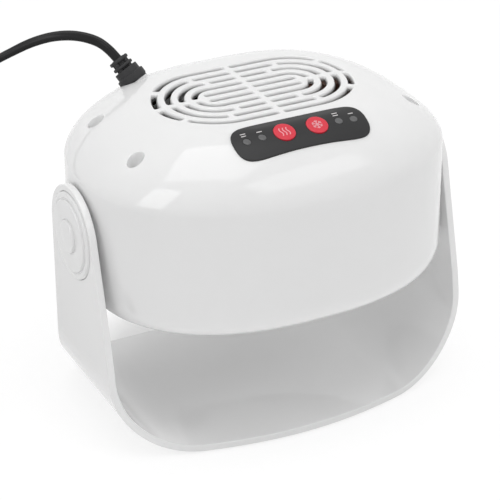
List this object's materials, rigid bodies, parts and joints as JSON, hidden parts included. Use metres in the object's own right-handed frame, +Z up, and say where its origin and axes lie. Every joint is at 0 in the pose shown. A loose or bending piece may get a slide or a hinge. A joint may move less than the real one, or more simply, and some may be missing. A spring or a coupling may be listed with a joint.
{
  "type": "nail polish fan dryer",
  "caption": "Small tabletop nail dryer: a white rounded head with a top grille, control panel and push buttons, tilting between the arms of a U-shaped stand.",
  "frame": {"origin": "on the table under the feet, at the middle of the object's footprint box, straight below the middle of the tilt axis", "axes": "+X along the tilt axis, towards the right arm as seen from the open front; -Y out of the front, where the hand goes in and where the control panel is; +Z up"},
  "size_m": [0.3136, 0.1529, 0.1693],
  "materials": {
    "white_abs": "high gloss moulded ABS, white",
    "hub_white": "satin gloss moulded ABS, white",
    "nylon": "natural nylon",
    "foot_rubber": "black rubber",
    "panel_grey": "satin dark grey film",
    "lens_grey": "smoked indicator lens",
    "led_resin": "clear resin",
    "board_brown": "brown phenolic board",
    "switch_black": "black moulded switch",
    "screw_steel": "zinc plated steel",
    "capacitor_blue": "printed sleeve without lettering",
    "relay_blue": "moulded case",
    "fan_black": "black moulded nylon",
    "motor_steel": "plated steel",
    "bronze": "sintered bronze",
    "mica": "mica sheet",
    "heating_alloy": "oxidised resistance wire",
    "ceramic": "ceramic tube",
    "lead_brown": "soft insulated leads",
    "lead_red": "soft insulated leads",
    "button_red": "glossy crimson",
    "cord_black": "satin black flexible PVC",
    "tie_black": "black tie",
    "pin_brass": "plated brass"
  },
  "bodies": {
    "stand": {"stand_frame": "white_abs", "hub_cap_left": "hub_white", "hub_cap_right": "hub_white", "pivot_bush_left": "nylon", "pivot_bush_right": "nylon", "rubber_feet": "foot_rubber", "power_cord": "cord_black", "cord_coil": "cord_black", "cord_tie": "tie_black", "plug_body": "cord_black", "plug_pins": "pin_brass"},
    "head": {"head_shell": "white_abs", "bottom_cover": "white_abs", "control_panel": "panel_grey", "indicator_lenses": "lens_grey", "indicator_leds": "led_resin", "control_board": "board_brown", "switch_bodies": "switch_black", "board_screws": "screw_steel", "power_board": "board_brown", "board_capacitor": "capacitor_blue", "board_relay": "relay_blue", "power_screws": "screw_steel", "pivot_screws": "screw_steel", "pivot_washers": "screw_steel", "shell_screws": "screw_steel", "fan_frame": "fan_black", "fan_screws": "screw_steel", "motor_can": "motor_steel", "motor_bearing": "bronze", "heater_frame": "mica", "heater_wire": "heating_alloy", "thermostat": "motor_steel", "thermal_fuse": "ceramic", "mains_leads": "lead_brown", "motor_leads": "lead_red", "cord_boot": "cord_black"},
    "fan": {"impeller": "fan_black", "motor_shaft": "motor_steel"},
    "hot_button": {"hot_button": "button_red", "hot_plunger": "switch_black"},
    "cool_button": {"cool_button": "button_red", "cool_plunger": "switch_black"}
  },
  "joints": [
    {"name": "head_tilt", "type": "hinge", "parent": "stand", "child": "head", "pos_m": [0, 0, 0.0995], "axis": [1, 0, 0], "range_deg": [-30, 30], "deforming": ["power_cord"]},
    {"name": "fan_spin", "type": "hinge", "parent": "head", "child": "fan", "pos_m": [0, 0, 0.12], "axis": [0, 0, 1], "continuous": true},
    {"name": "hot_press", "type": "slide", "parent": "head", "child": "hot_button", "axis": [0, 0.352, -0.936], "range_m": [0, 0.0006], "stiffness_N_per_m": 1500, "springref_m": -0.0005},
    {"name": "cool_press", "type": "slide", "parent": "head", "child": "cool_button", "axis": [0, 0.352, -0.936], "range_m": [0, 0.0006], "stiffness_N_per_m": 1500, "springref_m": -0.0005}
  ]
}
